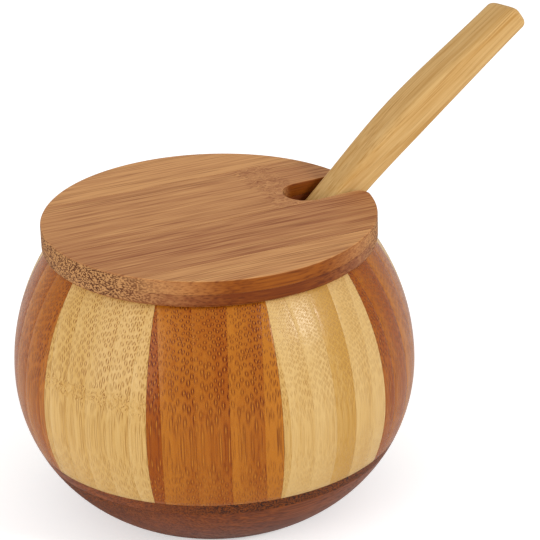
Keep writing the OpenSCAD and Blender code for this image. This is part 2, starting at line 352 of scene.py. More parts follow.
def inner_radius(bowl, z):
    """The bowl's inside: two arcs, the straight mouth, and the bevel up to the rim."""
    bevel_z = bowl.rim_h - bowl.rim_bevel
    mouth_z = bevel_z - bowl.mouth_h
    mouth_r = bowl.rim_r - bowl.rim_flat - bowl.rim_bevel
    side = (bowl.belly_r - bowl.wall, bowl.belly_h)
    low = arc_radius(side, (bowl.floor_r, bowl.floor_t), np.clip(z, bowl.floor_t, bowl.belly_h))
    high = arc_radius(side, (mouth_r, mouth_z), np.clip(z, bowl.belly_h, mouth_z))
    bevel = mouth_r + np.maximum(0, z - bevel_z)
    return np.select([z < bowl.belly_h, z < mouth_z], [low, high], bevel)


def wall_rows(bowl, low, high):
    """Heights of the rows of a wall, with one at each corner of the section and one close to each end."""
    bevel_z = bowl.rim_h - bowl.rim_bevel
    corners = [bevel_z, bevel_z - bowl.mouth_h, bowl.belly_h, low + bowl.groove, high - bowl.rim_edge]
    return np.unique(np.clip(np.concatenate([np.linspace(low, high, WALL_ROWS), corners]), low, high))


def ends_eased(z, at_low, at_high):
    """How far a side is drawn back at its lowest row and at its highest."""
    return np.where(z == z.min(), at_low, 0) + np.where(z == z.max(), at_high, 0)


def wall_section(bowl, low, high, top_ease):
    """Radii and heights round a wall's section: up the outside and down the inside, edges eased."""
    z = wall_rows(bowl, low, high)
    ease = ends_eased(z, bowl.groove, top_ease)
    radius = np.concatenate([outer_radius(bowl, z) - ease, (inner_radius(bowl, z) + ease)[::-1]])
    return radius, np.concatenate([z, z[::-1]])


def joint_angle(bowl, i):
    """Angle of the joint at the start of stave i, counted from 0."""
    return bowl.first_joint + 2 * pi / len(STAVES) * i + radians(JOINT_DRIFT[i % len(STAVES)])


def strip_joints(bowl, i, half, strip_w):
    """Places across stave i of the planes between its strips, with one past each side."""
    last = bowl.belly_r * sin(half) - LEAST_STRIP
    return [-bowl.belly_r, *np.arange(FIRST_JOINTS[i] * MM, last, strip_w), bowl.belly_r]


def strip_skin(bowl, half, left, right, turn):
    """One strip of a stave, between two planes that run along it or the stave's own sides, which lean in to
    the axis. At radius r such a side is r * sin(half - asin(glue / 2r)) from the stave's middle. A strip off
    the middle reaches in only as far as meet, the radius at which its nearest plane crosses the side."""
    gap, strip_gap = bowl.glue / 2, bowl.strip_glue / 2
    nearest = max(0, max(left, -right) + strip_gap)
    meet = hypot(nearest / tan(half) + gap / sin(half), nearest) if nearest else 0
    side = (bowl.belly_r, bowl.belly_h)
    low, high, top_ease = bowl.base_h, bowl.rim_h, bowl.rim_edge
    if meet > outer_radius(bowl, low):
        low = bowl.belly_h - arc_height(side, (bowl.foot_r, 0), meet)
    if meet > outer_radius(bowl, high):
        high, top_ease = bowl.belly_h + arc_height(side, (bowl.rim_r, bowl.rim_h), meet), 0
    radius, z = wall_section(bowl, low, high, top_ease)
    middle = np.linspace(STRIP_BORDER, 1 - STRIP_BORDER, STRIP_COLUMNS)
    share = np.concatenate([[0], middle, [1]])[:, None]
    outwards = np.where(np.arange(len(z)) < len(z) // 2, 1, -1)
    groove = bowl.groove * outwards * ((share == 0) | (share == 1))
    radius = np.maximum(radius - groove, meet)
    limit = radius * np.sin(half - np.arcsin(gap / radius))
    start = np.maximum(left + strip_gap, -limit)
    stop = np.maximum(np.minimum(right - strip_gap, limit), start)
    across = start + (stop - start) * share
    points = np.stack([np.sqrt(radius**2 - across**2), across, np.broadcast_to(z, across.shape)], -1)
    return wall_skin(turned(points, turn))


def turned_skin(radius, z):
    """A profile turned about the Z axis: (r cos a, r sin a, z)."""
    a = np.linspace(0, 2 * pi, TURNED_POINTS, endpoint=False)[:, None]
    return loft(np.stack([radius * np.cos(a), radius * np.sin(a), z + 0 * a], -1), closed=True)


def base_skin(bowl, low, high):
    """A ply of the base: a ring above the floor, a full disc under it, and between them a cup."""
    groove = bowl.groove
    if low >= bowl.floor_t:
        return turned_skin(*wall_section(bowl, low, high, groove))
    z = wall_rows(bowl, low, high)
    outside = outer_radius(bowl, z) - ends_eased(z, groove, groove)
    if high <= bowl.floor_t:
        return turned_skin(np.append(outside, [0, 0]), np.append(z, [high, low]))
    z_in = np.append(z[z > bowl.floor_t][::-1], bowl.floor_t)
    radius = np.concatenate([outside, inner_radius(bowl, z_in), [0, 0]])
    return turned_skin(radius, np.concatenate([z, z_in, [bowl.floor_t, low]]))


# ---- Lid ----

KNUCKLE_X = 23  # place of the tangled fibres in the strip behind the notch, in millimetres
DISC_POINTS, CORNER_POINTS, NOTCH_POINTS, EDGE_LEVELS = 240, 16, 48, 6
SLIGHT_TURN = 0.3  # sine of a corner of an outline that counts as nearly straight
CUT_ROUNDING = 0.04  # share of an edge's rounding that the side at a joint gets
CROWDED = 0.8 * MM  # points of an outline this close to a joint's ends are left out
FACE_RING = 0.2 * MM  # width of the ring of faces beside a rounded or bevelled edge


def arc(middle, radius, start, stop, count):
    """Points along a circle between two angles: middle + radius (cos a, sin a)."""
    a = np.linspace(start, stop, count)
    return np.stack([middle[0] + radius * np.cos(a), middle[1] + radius * np.sin(a)], -1)


def notched_disc(radius, half, notch_in, corner_r, notch_share):
    """A disc with a notch, anticlockwise: the disc's edge, a corner, the notch's round end and the other
    corner. The second result is how much of an edge's rounding each side gets: 1 on the disc."""
    corner_y = half + corner_r
    corner_x = sqrt((radius - corner_r) ** 2 - corner_y**2)
    a = atan2(corner_y, corner_x)
    parts = [
        arc((0, 0), radius, a, 2 * pi - a, DISC_POINTS),
        arc((corner_x, -corner_y), corner_r, -a, pi / 2, CORNER_POINTS)[1:],
        arc((notch_in + half, 0), half, -pi / 2, -3 * pi / 2, NOTCH_POINTS),
        arc((corner_x, corner_y), corner_r, -pi / 2, a, CORNER_POINTS)[:-1],
    ]
    fade = np.linspace(1, notch_share, CORNER_POINTS - 1)
    notch = np.full(NOTCH_POINTS + 1, notch_share)
    shares = [np.ones(DISC_POINTS), fade[:-1], notch, fade[::-1]]
    return np.concatenate(parts), np.concatenate(shares)


def keep_side(points, shares, distance):
    """The part of an outline on the positive side of a line that crosses it twice. The new side gets
    little rounding, and points that crowd its ends are left out."""
    inside = distance >= 0
    enter = int(np.flatnonzero(~inside & np.roll(inside, -1))[0])
    points, shares, distance = (np.roll(v, -enter, 0) for v in (points, shares, distance))
    leave = int(np.flatnonzero(distance >= 0)[-1])
    after = (leave + 1) % len(points)
    first = points[0] + (points[1] - points[0]) * distance[0] / (distance[0] - distance[1])
    part = distance[leave] / (distance[leave] - distance[after])
    last = points[leave] + (points[after] - points[leave]) * part
    kept = np.concatenate([[first], points[1 : leave + 1], [last]])
    far = np.linalg.norm(kept - first, axis=1) > CROWDED
    far &= np.linalg.norm(kept - last, axis=1) > CROWDED
    far[[0, -1]] = True
    return kept[far], np.append(shares[: leave + 1], CUT_ROUNDING)[far]


def inset(points, distance):
    """An outline with each side moved in by its own distance d. Between sides with the normals m and n a
    nearly straight corner moves by d(m + n) / (1 + mn), and a sharp one goes where the sides then meet."""
    side = np.roll(points, -1, 0) - points
    side /= np.linalg.norm(side, axis=1)[:, None]
    n = np.stack([-side[:, 1], side[:, 0]], -1)
    m, d_m = np.roll(n, 1, 0), np.roll(distance, 1)
    cross = m[:, 0] * n[:, 1] - m[:, 1] * n[:, 0]
    slight = np.abs(cross) < SLIGHT_TURN
    safe = np.where(slight, 1, cross)
    meet_x = (d_m * n[:, 1] - distance * m[:, 1]) / safe
    meet_y = (distance * m[:, 0] - d_m * n[:, 0]) / safe
    even = (m + n) * ((d_m + distance) / 2 / (1 + (m * n).sum(1)))[:, None]
    return points + np.where(slight[:, None], even, np.stack([meet_x, meet_y], -1))


def stack(points, shares, levels):
    """Solid through an outline at several levels. A level is a height and how far a full side moves in."""
    rings = [np.column_stack([inset(points, shares * move), np.full(len(points), z)]) for z, move in levels]
    return loft(np.stack(rings))


def round_over(face_z, radius):
    """Levels of a quarter circle between a side and the face at face_z, from the side on, and a narrow ring
    on the face. A negative radius rounds the edge of a face that looks down."""
    a = np.linspace(0, pi / 2, EDGE_LEVELS)
    heights = face_z - radius * (1 - np.sin(a))
    moves = abs(radius) * (1 - np.cos(a))
    return [*zip(heights, moves), (face_z, abs(radius) + FACE_RING)]


# ---- Spoon ----

WIDE_AT = 0.42  # share of the head's length, from the tip, where it is widest
DEEP_AT = 0.5  # share of the head's length where its underside is lowest
DISH_MIDDLE, DISH_HALF = 0.44, 0.4  # middle of the dish and half its length, as shares of the head's
HANDLE_SQUARE, HEAD_SQUARE = 5, 2.3  # squareness of the sections, where 2 is an ellipse
SLANT_L = 14 * MM  # length over which the end's slant fades out
DISH_EDGE = 8  # how sharply the dish starts inside the head's edge
NOSE_RINGS, SHAFT_RINGS, END_RINGS, RING_POINTS = 40, 130, 9, 112
TIP = 0.02  # angle of the first ring on the nose's quarter circle, so that it isn't a point
DIP_SAMPLES, BEND_STEPS = 200, 400  # places tried for the head's lowest point, and steps of the inner bend


def smooth(u):
    """3u^2 - 2u^3, with u held between 0 and 1."""
    v = np.clip(u, 0, 1)
    return v * v * (3 - 2 * v)


def mix(a, b, u):
    """a + (b - a)u."""
    return a + (b - a) * u


def quarter_circle(u):
    """sqrt(1 - (1 - u)^2), which is 1 from u = 1 on."""
    return np.sqrt(1 - np.maximum(0, 1 - u) ** 2)


def lean_at(spoon, out):
    """Lean of the centre line at a distance out from the rim, or in from it where that is negative."""
    outside = mix(spoon.rim_lean, spoon.handle_lean, smooth(out / spoon.outer_bend))
    inside = mix(spoon.rim_lean, spoon.head_lean, smooth(-out / spoon.inner_bend))
    return np.where(out > 0, outside, inside)


def underside(spoon, share):
    """Depth of the head's underside: a quarter circle from the tip to its lowest place."""
    return mix(spoon.lip_t - spoon.head_up, spoon.head_down, quarter_circle(share / DEEP_AT))


def centre_line(spoon, bowl):
    """The tip's place and the length from it to the rim. The handle rests on the rim's inner edge and the
    head on the floor, each with its clearance, and the line is the sum of its short leaning steps."""
    lift = spoon.neck_t / 2 + spoon.rest_gap
    rim_x = bowl.rim_r - bowl.rim_flat - lift * sin(spoon.rim_lean)
    rim_z = bowl.rim_h + lift * cos(spoon.rim_lean)
    share = np.linspace(0, DEEP_AT, DIP_SAMPLES)
    dip = underside(spoon, share) * cos(spoon.head_lean) - share * spoon.head_l * sin(spoon.head_lean)
    tip_z = bowl.floor_t + spoon.rest_gap + dip.max()
    bend = lean_at(spoon, -spoon.inner_bend * (np.arange(BEND_STEPS) + 0.5) / BEND_STEPS)
    straight = (rim_z - tip_z - np.sin(bend).mean() * spoon.inner_bend) / sin(spoon.head_lean)
    tip_x = rim_x - np.cos(bend).mean() * spoon.inner_bend - straight * cos(spoon.head_lean)
    return np.array([tip_x, tip_z]), spoon.inner_bend + straight


def along_handle(spoon, out, handle_l, neck, grip, end):
    """A size of the handle that grows from neck to grip and shrinks to end."""
    near = mix(neck, grip, smooth(out / spoon.grip_at))
    far = mix(grip, end, smooth((out - spoon.grip_at) / (handle_l - spoon.grip_at)))
    return np.where(out < spoon.grip_at, near, far)


def spoon_skin(spoon, bowl):
    """Superellipse rings (w c^(2/n), h d^(2/n)) along the bending line in the plane y = 0. The head is
    dished by a product of two parabolas, and the handle's end is slanted and rounded over."""
    tip, inner_l = centre_line(spoon, bowl)
    handle_l, round_at = spoon.total - inner_l, spoon.total - spoon.end_round
    nose = WIDE_AT * spoon.head_l * (1 - np.cos(np.linspace(TIP, pi / 2, NOSE_RINGS, endpoint=False)))
    shaft = np.linspace(WIDE_AT * spoon.head_l, round_at, SHAFT_RINGS, endpoint=False)
    end = round_at + spoon.end_round * np.sin(np.linspace(0, pi / 2, END_RINGS))
    at = np.concatenate([nose, shaft, end])
    walk = lean_at(spoon, (at[1:] + at[:-1]) / 2 - inner_l)
    steps = np.diff(at)[:, None] * np.stack([np.cos(walk), np.sin(walk)], -1)
    line = tip + np.concatenate([[[0, 0]], np.cumsum(steps, 0)])

    out, share = at - inner_l, at / spoon.head_l
    neck = smooth((share - DEEP_AT) / (1 - DEEP_AT))
    handle_w = along_handle(spoon, out, handle_l, spoon.neck_w, spoon.grip_w, spoon.end_w)
    half_t = along_handle(spoon, out, handle_l, spoon.neck_t, spoon.grip_t, spoon.end_t) / 2
    shoulder = mix(spoon.head_w, spoon.neck_w, smooth((share - WIDE_AT) / (1 - WIDE_AT)))
    head_w = np.where(share < WIDE_AT, spoon.head_w * quarter_circle(share / WIDE_AT), shoulder)
    half_w = np.where(share < 1, head_w, handle_w) / 2
    above = np.where(share < 1, mix(spoon.head_up, spoon.neck_t / 2, neck), half_t)
    head_below = np.where(
        share < DEEP_AT, underside(spoon, share), mix(spoon.head_down, spoon.neck_t / 2, neck)
    )
    below = np.where(share < 1, head_below, half_t)
    waist = mix(above - spoon.lip_t / 2, (above - below) / 2, neck)
    past = np.maximum(0, at - round_at)
    trim = spoon.end_round - np.sqrt(np.maximum(0, spoon.end_round**2 - past**2))

    a = np.linspace(0, 2 * pi, RING_POINTS, endpoint=False)
    c, d = np.cos(a), np.sin(a)
    square = np.where(d < 0, mix(HEAD_SQUARE, HANDLE_SQUARE, neck)[:, None], HANDLE_SQUARE)
    y = (half_w - trim)[:, None] * np.sign(c) * np.abs(c) ** (2 / square)
    reach = np.where(d < 0, -(waist + below - trim)[:, None], (above - trim - waist)[:, None])
    height = waist[:, None] + reach * np.abs(d) ** (2 / square)
    room = np.maximum(spoon.lip_w, half_w - spoon.lip_w)[:, None]
    dish = spoon.dish_h * np.maximum(0, 1 - ((share - DISH_MIDDLE) / DISH_HALF) ** 2)[:, None]
    height = height - dish * np.maximum(0, 1 - (y / room) ** 2) * smooth(DISH_EDGE * d)
    slant = tan(spoon.end_slant) * smooth((at - spoon.total + SLANT_L) / SLANT_L)
    shift, lean = -slant[:, None] * y, lean_at(spoon, out)[:, None]
    x = line[:, :1] + shift * np.cos(lean) - height * np.sin(lean)
    z = line[:, 1:] + shift * np.sin(lean) + height * np.cos(lean)
    return loft(np.stack([x, y, z], -1))


# ---- Bamboo ----


class Wiring:
    """Writes nodes into a tree. An input that is given a socket is linked, and any other value is set."""

    def __init__(self, tree):
        self.tree = tree

    def put(self, socket, value):
        """Links a socket to an input, or sets the input to a value."""
        if isinstance(value, bpy.types.NodeSocket):
            self.tree.links.new(value, socket)
        else:
            socket.default_value = value

    def add(self, kind, inputs=None, **settings):
        """A new node with its settings and its inputs, by name or number. The result is its outputs."""
        node = self.tree.nodes.new(kind if kind.startswith("Node") else "ShaderNode" + kind)
        for key, value in settings.items():
            setattr(node, key, value)
        for key, value in (inputs or {}).items():
            self.put(node.inputs[key], value)
        return node.outputs

    def math(self, operation, *values):
        return self.add("Math", dict(enumerate(values)), operation=operation)[0]

    def vector(self, operation, *values):
        return self.add("VectorMath", dict(enumerate(values)), operation=operation)

    def scaled(self, vector, factor):
        return self.add("VectorMath", {0: vector, "Scale": factor}, operation="SCALE")[0]

    def dot(self, vector, other):
        return self.vector("DOT_PRODUCT", vector, other)["Value"]

    def step(self, value, low, high, to_low=0.0, to_high=1.0):
        """Smooth step of a value from low to high."""
        inputs = {"Value": value, "From Min": low, "From Max": high, "To Min": to_low, "To Max": to_high}
        return self.add("MapRange", inputs, interpolation_type="SMOOTHSTEP")[0]

    def near(self, value, middle, none, full, to_low=0.0, to_high=1.0):
        """High within the distance full of a middle, falling to low at the distance none."""
        away = self.math("ABSOLUTE", self.math("SUBTRACT", value, middle))
        return self.step(away, none, full, to_low, to_high)

    def blend(self, factor, a, b):
        return self.add("Mix", {0: factor, 6: a, 7: b}, data_type="RGBA")[2]

    def noise(self, vector, size, detail=2.0):
        """Noise whose features are about size long in each direction."""
        near = self.vector("DIVIDE", vector, size)[0]
        return self.add("TexNoise", {"Vector": near, "Scale": 1.0, "Detail": detail})

    def sway(self, vector, size, most):
        """A noise vector that goes both ways from nothing, up to half of most."""
        random = self.noise(vector, size, 1.0)["Color"]
        return self.vector("MULTIPLY", self.vector("SUBTRACT", random, (0.5, 0.5, 0.5))[0], most)[0]

    def group(self, name, inputs):
        """A group that is built once and used by every material."""
        makers = {"Fibre Bundles": bundle_group, "Bamboo": bamboo_group, "Glued Strips": strip_group}
        node = self.tree.nodes.new("ShaderNodeGroup")
        node.node_tree = bpy.data.node_groups.get(name) or makers[name]()
        for key, value in inputs.items():
            self.put(node.inputs[key], value)
        return node.outputs


def new_group(name, inputs, outputs):
    """An empty node group with named sockets: its wiring, its inputs and its output node."""
    tree = bpy.data.node_groups.new(name, "ShaderNodeTree")
    for label, kind, value in inputs:
        socket = tree.interface.new_socket(label, in_out="INPUT", socket_type="NodeSocket" + kind)
        socket.default_value = value
    for label, kind in outputs:
        tree.interface.new_socket(label, in_out="OUTPUT", socket_type="NodeSocket" + kind)
    wiring = Wiring(tree)
    return wiring, wiring.add("NodeGroupInput"), tree.nodes.new("NodeGroupOutput")


def bundle_group():
    """Fibre bundles that run along Z. They stand in columns across Y, and every second column is half a row
    further in along X, so u = (Y + X / row) / 2 and v = (Y - X / row) / 2 are whole numbers at each. A
    bundle is a pale core between two dark crescents that face along Y."""
    w, given, result = new_group(
        "Fibre Bundles",
        [("Vector", "Vector", (0, 0, 0)), ("Spacing", "Float", 1.1), ("Density", "Float", 0.5)],
        [("Wall", "Float"), ("Core", "Float")],
    )
    wander = w.sway(given["Vector"], (6, 6, 60), (1.2, 1.6, 0))
    at = w.scaled(w.vector("ADD", given["Vector"], wander)[0], w.math("DIVIDE", 1.0, given["Spacing"]))
    row, half_width, half_depth = 0.364, 0.31, 0.2
    slanted = w.add(
        "CombineXYZ", {"X": w.dot(at, (0.5 / row, 0.5, 0)), "Y": w.dot(at, (-0.5 / row, 0.5, 0))}
    )[0]
    cells = w.add(
        "TexVoronoi", {"Vector": slanted, "Scale": 1.0, "Randomness": 0.42},
        voronoi_dimensions="2D", feature="F1",
    )
    away = w.vector("SUBTRACT", slanted, cells["Position"])[0]
    across = w.dot(away, (1 / half_width, 1 / half_width, 0))
    inwards = w.dot(away, (row / half_depth, -row / half_depth, 0))
    away = w.add("CombineXYZ", {"X": across, "Y": inwards})[0]
    sides = w.math("POWER", w.dot(w.vector("NORMALIZE", away)[0], (1, 0, 0)), 2.0)
    # Some places have no bundle, and the bundles differ in size
    chance = w.add("SeparateColor", {0: cells["Color"]})
    there = w.step(w.math("SUBTRACT", given["Density"], chance["Red"]), -0.1, 0.3)
    size = w.math("MULTIPLY_ADD", chance["Green"], 0.3, w.math("MULTIPLY_ADD", there, 0.3, 0.6))
    reach = w.math("DIVIDE", w.vector("LENGTH", away)["Value"], size)
    ring = w.math("MULTIPLY", w.step(reach, 0.3, 0.75), w.step(reach, 1.45, 1.05))
    crescents = w.math("MULTIPLY", ring, w.math("MULTIPLY_ADD", sides, 0.8, 0.2))
    w.put(result.inputs["Wall"], w.math("MULTIPLY", crescents, there))
    w.put(result.inputs["Core"], w.math("MULTIPLY", w.step(reach, 0.6, 0.2), there))
    return w.tree


def bamboo_group():
    """Bamboo whose fibres run along Z, in millimetres. Tone picks between the pale colour and the deep one,
    streaks and fine fibres vary it, and the fibre bundles are drawn over it. Knuckle is 1 where the fibres
    are tangled, and Cut is 1 where a face cuts across them and shows speckled end grain. Height is for a
    bump."""
    w, given, result = new_group(
        "Bamboo",
        [
            ("Vector", "Vector", (0, 0, 0)),
            ("Tone", "Float", 0.5),
            ("Density", "Float", 0.5),
            ("Spacing", "Float", 1.1),
            ("Knuckle", "Float", 0.0),
            ("Cut", "Float", 0.0),
            ("Pale", "Color", (1, 1, 1, 1)),
            ("Deep", "Color", (1, 1, 1, 1)),
            ("Bundle", "Color", (1, 1, 1, 1)),
            ("Bundle Depth", "Float", 0.7),
            ("Core Depth", "Float", 0.3),
            ("Fibre Depth", "Float", 1.0),
            ("Streak Depth", "Float", 1.0),
            ("Dark Lines", "Float", 0.2),
            ("Gloss Loss", "Float", 0.4),
        ],
        [("Color", "Color"), ("Roughness", "Float"), ("Height", "Float")],
    )
    tangle = w.sway(given["Vector"], (1.6, 1.6, 2.2), (3.5, 3.5, 0))
    at = w.vector("ADD", given["Vector"], w.scaled(tangle, given["Knuckle"]))[0]
    bundle = w.group(
        "Fibre Bundles", {"Vector": at, "Spacing": given["Spacing"], "Density": given["Density"]}
    )
    # Fine fibres, streaks and broad clouds each shift the tone both ways
    fine = w.noise(at, (0.45, 0.45, 16), 2.0)["Fac"]
    streak = w.noise(at, (1.4, 1.4, 50), 2.0)["Fac"]
    cloud = w.noise(at, (8, 8, 30), 2.0)["Fac"]
    grit = w.noise(given["Vector"], (0.4, 0.4, 2.0), 2.0)["Fac"]
    tangled = w.math("MULTIPLY", w.math("SUBTRACT", grit, 0.4), given["Knuckle"])
    tone = w.math("ADD", given["Tone"], tangled)
    for share, depth in ((fine, given["Fibre Depth"]), (streak, given["Streak Depth"]), (cloud, 0.6)):
        tone = w.math("MULTIPLY_ADD", w.math("SUBTRACT", share, 0.5), depth, tone)
    wood = w.blend(w.add("Clamp", {0: tone})[0], given["Pale"], given["Deep"])
    wood = w.blend(w.math("MULTIPLY", bundle["Core"], given["Core Depth"]), wood, given["Pale"])
    wood = w.blend(w.math("MULTIPLY", bundle["Wall"], given["Bundle Depth"]), wood, given["Bundle"])
    lines = w.math("MULTIPLY", w.step(fine, 0.58, 0.68), given["Dark Lines"])
    wood = w.blend(lines, wood, given["Bundle"])
    # End grain is speckled, a little darker, and rougher
    speckles = w.blend(w.step(grit, 0.42, 0.58), given["Pale"], given["Bundle"])
    w.put(result.inputs["Color"], w.blend(given["Cut"], wood, w.scaled(speckles, 0.78)))
    rough = w.math("MULTIPLY_ADD", fine, 0.16, given["Gloss Loss"])
    rough = w.math("MULTIPLY_ADD", given["Cut"], 0.2, rough)
    w.put(result.inputs["Roughness"], w.math("MULTIPLY_ADD", bundle["Wall"], 0.12, rough))
    w.put(result.inputs["Height"], w.math("MULTIPLY_ADD", bundle["Wall"], -0.6, fine))
    return w.tree


def strip_group():
    """Which strip a place is in, counted across from a joint. Within runs from 0 to 1 over each strip,
    Strip is its number, and Shift moves its pattern away from its neighbours'."""
    w, given, result = new_group(
        "Glued Strips",
        [("Across", "Float", 0), ("Joint", "Float", 0), ("Width", "Float", 8), ("Seed", "Float", 0)],
        [("Strip", "Float"), ("Within", "Float"), ("Shift", "Vector")],
    )
    count = w.math("DIVIDE", w.math("SUBTRACT", given["Across"], given["Joint"]), given["Width"])
    strip = w.math("FLOOR", count)
    seed = w.add("CombineXYZ", {"X": strip, "Y": given["Seed"], "Z": 0.5})[0]
    chance = w.add("TexWhiteNoise", {"Vector": seed}, noise_dimensions="3D")["Color"]
    w.put(result.inputs["Strip"], strip)
    w.put(result.inputs["Within"], w.math("FRACT", count))
    w.put(result.inputs["Shift"], w.vector("MULTIPLY", chance, (70, 70, 250))[0])
    return w.tree


def new_bamboo(name):
    """An empty material: its wiring, its shader, and the piece's own coordinates and normals."""
    material = bpy.data.materials.new(name)
    material.use_nodes = True
    w = Wiring(material.node_tree)
    shader = material.node_tree.nodes["Principled BSDF"]
    # A thin satin lacquer
    shader.inputs["IOR"].default_value = 1.45
    shader.inputs["Specular IOR Level"].default_value = 0.22
    return material, w, shader, w.add("TexCoord")


def wire_bamboo(w, shader, colours, kind, bump, edge=None, **inputs):
    """Puts the shared bamboo in a material, with the three colours of its kind. Edge, where it is given, is
    how far the kind's edge colour darkens it, as painted shade on the sides."""
    for tone in ("pale", "deep", "bundle"):
        inputs[tone.title()] = (*getattr(colours, f"{kind}_{tone}"), 1)
    wood = w.group("Bamboo", {key.replace("_", " "): value for key, value in inputs.items()})
    shown = wood["Color"]
    if edge is not None:
        # Painted shade: the edge colour is multiplied onto the sides to darken them
        painted_side_shade = (*getattr(colours, f"{kind}_edge"), 1)
        shown = w.add("Mix", {0: edge, 6: shown, 7: painted_side_shade}, data_type="RGBA", blend_type="MULTIPLY")[2]
    w.put(shader.inputs["Base Color"], shown)
    w.put(shader.inputs["Roughness"], wood["Roughness"])
    relief = w.add("Bump", {"Height": wood["Height"], "Distance": bump * MM, "Strength": 1.0})
    w.put(shader.inputs["Normal"], relief[0])


def in_millimetres(w, coords, turn=(0, 0, 0)):
    """Object coordinates in millimetres, turned."""
    return w.add("Mapping", {"Vector": coords, "Rotation": turn, "Scale": (1 / MM,) * 3})[0]


def strip_tones(w, strip, tones):
    """A tone for each strip, from a stepped ramp with a tenth for each. Strip k reads the middle of its
    tenth, 0.1k + 0.15, where the strip left of the first joint has number -1."""
    ramp = w.add("ValToRGB", {0: w.math("MULTIPLY_ADD", strip, 0.1, 0.15)})[0]
    colour_ramp = ramp.node.color_ramp
    colour_ramp.interpolation = "CONSTANT"
    colour_ramp.elements.remove(colour_ramp.elements[1])
    for k, tone in enumerate(tones):
        element = colour_ramp.elements[0] if k == 0 else colour_ramp.elements.new(0.1 * k)
        element.color = (tone, tone, tone, 1)
    return ramp


def stave_bamboo(i, turn, strip_w, colours):
    """Bamboo of one stave. At each strip's right side the bundles are denser and darker and the tone is
    deeper. Bundles show most where the turned surface faces up and cuts across them, and dark lines where
    it stands upright along the fibres. Where the spacing is small the bundles are fainter."""
    kind = ("dark", "light")[i % 2]
    look = STAVE_KINDS[kind]
    material, w, shader, texture = new_bamboo(f"{kind} bamboo {i + 1:02d}")
    place = in_millimetres(w, texture["Object"], (0, 0, -turn))
    axes = w.add("SeparateXYZ", {0: place})
    strips = w.group(
        "Glued Strips",
        {"Across": axes["Y"], "Joint": FIRST_JOINTS[i], "Width": strip_w / MM, "Seed": i + 1.0},
    )
    within = w.step(strips["Within"], 0.0, 1.0)
    deepening = look["deepening"]
    tone = w.math("MULTIPLY_ADD", within, deepening, strip_tones(w, strips["Strip"], STRIP_TONES[i]))
    slope = w.dot(texture["Normal"], (0, 0, 1))
    depth = w.math("MULTIPLY", w.step(slope, 0.0, 0.25, 0.5, 1.0), min(0.95, SPACINGS[i] - 0.05))
    depth = w.math("MULTIPLY", w.math("MULTIPLY_ADD", within, 0.4, 0.65), depth)
    wire_bamboo(
        w, shader, colours, kind, 0.03,
        Vector=w.vector("ADD", place, strips["Shift"])[0],
        Tone=w.math("SUBTRACT", tone, deepening / 2),
        Density=w.math("MULTIPLY_ADD", within, 0.6, 0.85),
        Spacing=SPACINGS[i],
        Knuckle=w.near(axes["Z"], KNUCKLES[i], 3.5, 0.5) if KNUCKLES[i] else 0.0,
        Bundle_Depth=depth,
        Core_Depth=look["cores"],
        Fibre_Depth=0.8,
        Streak_Depth=look["streaks"],
        Dark_Lines=w.near(slope, 0.0, 0.3, 0.0, 0.1, look["lines"]),
        Gloss_Loss=0.17,
    )
    return material


def flat_bamboo(name, kind, colours, turn, squeeze, shift, bump, knuckle=None, **inputs):
    """Bamboo of a flat ply whose fibres run along X, turned by turn. Squeeze and shift pick its part of the
    pattern, and knuckle is the place along the fibres where they are tangled."""
    material, w, shader, texture = new_bamboo(name)
    axes = w.add("SeparateXYZ", {0: in_millimetres(w, texture["Object"], (0, 0, -turn))})
    place = w.add("CombineXYZ", {"X": axes["Z"], "Y": axes["Y"], "Z": axes["X"]})[0]
    facing = w.math("ABSOLUTE", w.dot(texture["Normal"], (cos(turn), sin(turn), 0)))
    edge = None
    if kind == "lid":  # painted shade: its sides are darkened where they run along the grain, to look darker than the top's sheen
        upwards = w.math("ABSOLUTE", w.dot(texture["Normal"], (0, 0, 1)))
        edge = w.math("MULTIPLY", w.step(upwards, 0.9, 0.5), w.step(facing, 0.85, 0.25))
    wire_bamboo(
        w, shader, colours, kind, bump, edge,
        Vector=w.vector("MULTIPLY_ADD", place, squeeze, shift)[0],
        Cut=w.step(facing, 0.5, 0.9),
        Knuckle=0.0 if knuckle is None else w.near(axes["X"], knuckle, 7.0, 2.0),
        **inputs,
    )
    return material


def spoon_bamboo(colours, lean):
    """Bamboo of the spoon, with its fibres along the handle."""
    material, w, shader, texture = new_bamboo("spoon bamboo")
    wire_bamboo(
        w, shader, colours, "spoon", 0.03,
        Vector=in_millimetres(w, texture["Object"], (0, lean - pi / 2, 0)),
        Tone=0.45, Density=0.35, Spacing=0.9, Bundle_Depth=0.35, Core_Depth=0.2,
        Fibre_Depth=1.2, Streak_Depth=1.4, Dark_Lines=0.2, Gloss_Loss=0.4,
    )
    return material


# ---- Operators ----


class SALTPOT_OT_staves(Operator):
    """Build the ten staves, each of glued strips"""

    bl_idname = "saltpot.staves"
    bl_label = "Staves"

    def execute(self, context):
        bowl, colours = context.scene.salt_bowl, context.scene.salt_colours
        for i, node in enumerate(STAVES):
            half = (joint_angle(bowl, i + 1) - joint_angle(bowl, i)) / 2
            turn = joint_angle(bowl, i) + half
            strip_w = (bowl.dark_strip_w, bowl.light_strip_w)[i % 2]
            sides = strip_joints(bowl, i, half, strip_w)
            strips = [strip_skin(bowl, half, a, b, turn) for a, b in zip(sides, sides[1:])]
            material = stave_bamboo(i, turn, strip_w, colours)
            add_piece(f"{node}_strips", strips, material, "bowl", node)
        return {"FINISHED"}


